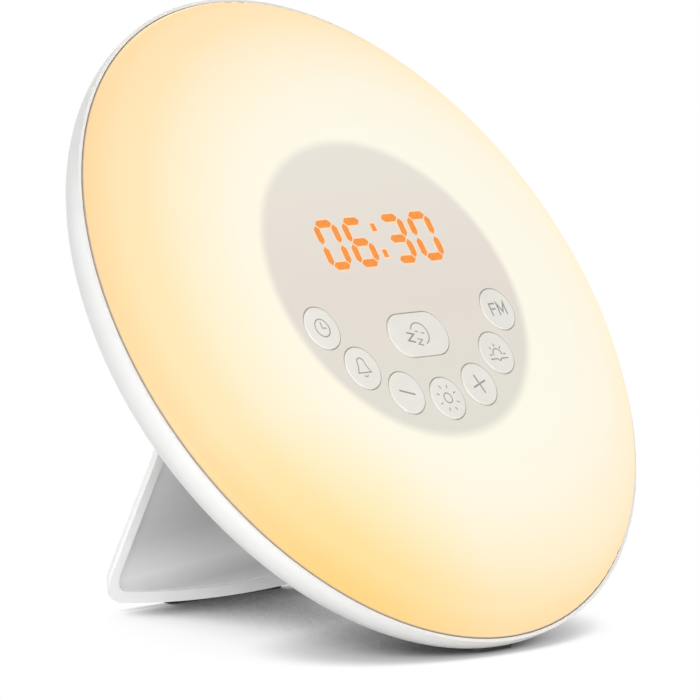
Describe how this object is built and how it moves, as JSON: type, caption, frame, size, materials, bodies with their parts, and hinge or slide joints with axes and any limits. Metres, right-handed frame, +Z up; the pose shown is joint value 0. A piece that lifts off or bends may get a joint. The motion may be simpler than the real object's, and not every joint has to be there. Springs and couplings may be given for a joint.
{
  "type": "sunrise alarm clock",
  "caption": "Round lens-shaped wake-up lamp and alarm clock with a domed diffuser, lit digits, push buttons and a fold-out rear stand.",
  "frame": {"origin": "on the table, under the middle of the object's box", "axes": "+X to the clock's right as seen from the front, +Z up, the face looks towards -Y and leans back"},
  "size_m": [0.1712, 0.1064, 0.1417],
  "materials": {
    "white_case": "white ABS, glossy moulding",
    "opal_diffuser": "opal acrylic lit warm from behind, satin",
    "white_button": "white ABS, fine satin",
    "white_inner": "white polystyrene, reflecting",
    "grey_rubber": "soft dark grey silicone",
    "plated_steel": "zinc-plated steel",
    "green_board": "glass-fibre circuit board",
    "white_board": "white-masked circuit board",
    "black_plastic": "black moulding compound",
    "led_package": "phosphor-filled LED package",
    "amber_bar": "amber light bar",
    "grey_housing": "grey display housing",
    "paper_cone": "pressed paper",
    "cell_steel": "nickel-plated cell can",
    "contact_brass": "spring brass",
    "wire_sheath": "PVC wire sheath",
    "natural_plug": "natural nylon plug"
  },
  "bodies": {
    "case": {"front_diffuser": "opal_diffuser", "rear_case": "white_case", "case_foot": "grey_rubber", "chassis": "white_inner", "light_board": "white_board", "leds": "led_package", "light_shield": "white_inner", "control_board": "green_board", "board_chips": "black_plastic", "wire_plugs": "natural_plug", "switch_bodies": "black_plastic", "display_housing": "grey_housing", "display_bars": "amber_bar", "speaker_frame": "plated_steel", "speaker_cone": "paper_cone", "backup_cell": "cell_steel", "cell_contacts": "contact_brass", "power_socket": "plated_steel", "socket_tongue": "black_plastic", "socket_board": "green_board", "light_lead": "wire_sheath", "speaker_lead": "wire_sheath", "cell_lead": "wire_sheath", "power_lead": "wire_sheath", "case_screws": "plated_steel", "chassis_screws": "plated_steel", "board_screws": "plated_steel", "speaker_screws": "plated_steel", "socket_screws": "plated_steel", "stand_pin": "plated_steel"},
    "stand": {"stand": "white_case", "stand_foot": "grey_rubber"},
    "battery_cover": {"battery_cover": "white_case"},
    "clock_button": {"clock_button": "white_button", "clock_plunger": "black_plastic"},
    "alarm_button": {"alarm_button": "white_button", "alarm_plunger": "black_plastic"},
    "minus_button": {"minus_button": "white_button", "minus_plunger": "black_plastic"},
    "light_button": {"light_button": "white_button", "light_plunger": "black_plastic"},
    "plus_button": {"plus_button": "white_button", "plus_plunger": "black_plastic"},
    "sunrise_button": {"sunrise_button": "white_button", "sunrise_plunger": "black_plastic"},
    "radio_button": {"radio_button": "white_button", "radio_plunger": "black_plastic"},
    "snooze_button": {"snooze_button": "white_button", "snooze_plunger": "black_plastic"}
  },
  "joints": [
    {"name": "stand_fold", "type": "hinge", "parent": "case", "child": "stand", "pos_m": [0, 0.01772, 0.05353], "axis": [-1, 0, 0], "range_deg": [0, 55]},
    {"name": "battery_cover_turn", "type": "hinge", "parent": "case", "child": "battery_cover", "pos_m": [-0.024, 0.0285, 0.07449], "axis": [0, 0.809, -0.5878], "range_deg": [0, 45]},
    {"name": "clock_press", "type": "slide", "parent": "case", "child": "clock_button", "axis": [0, 0.809, -0.5878], "range_m": [0, 0.0006], "stiffness_N_per_m": 1500},
    {"name": "alarm_press", "type": "slide", "parent": "case", "child": "alarm_button", "axis": [0, 0.809, -0.5878], "range_m": [0, 0.0006], "stiffness_N_per_m": 1500},
    {"name": "minus_press", "type": "slide", "parent": "case", "child": "minus_button", "axis": [0, 0.809, -0.5878], "range_m": [0, 0.0006], "stiffness_N_per_m": 1500},
    {"name": "light_press", "type": "slide", "parent": "case", "child": "light_button", "axis": [0, 0.809, -0.5878], "range_m": [0, 0.0006], "stiffness_N_per_m": 1500},
    {"name": "plus_press", "type": "slide", "parent": "case", "child": "plus_button", "axis": [0, 0.809, -0.5878], "range_m": [0, 0.0006], "stiffness_N_per_m": 1500},
    {"name": "sunrise_press", "type": "slide", "parent": "case", "child": "sunrise_button", "axis": [0, 0.809, -0.5878], "range_m": [0, 0.0006], "stiffness_N_per_m": 1500},
    {"name": "radio_press", "type": "slide", "parent": "case", "child": "radio_button", "axis": [0, 0.809, -0.5878], "range_m": [0, 0.0006], "stiffness_N_per_m": 1500},
    {"name": "snooze_press", "type": "slide", "parent": "case", "child": "snooze_button", "axis": [0, 0.809, -0.5878], "range_m": [0, 0.0006], "stiffness_N_per_m": 1500}
  ]
}
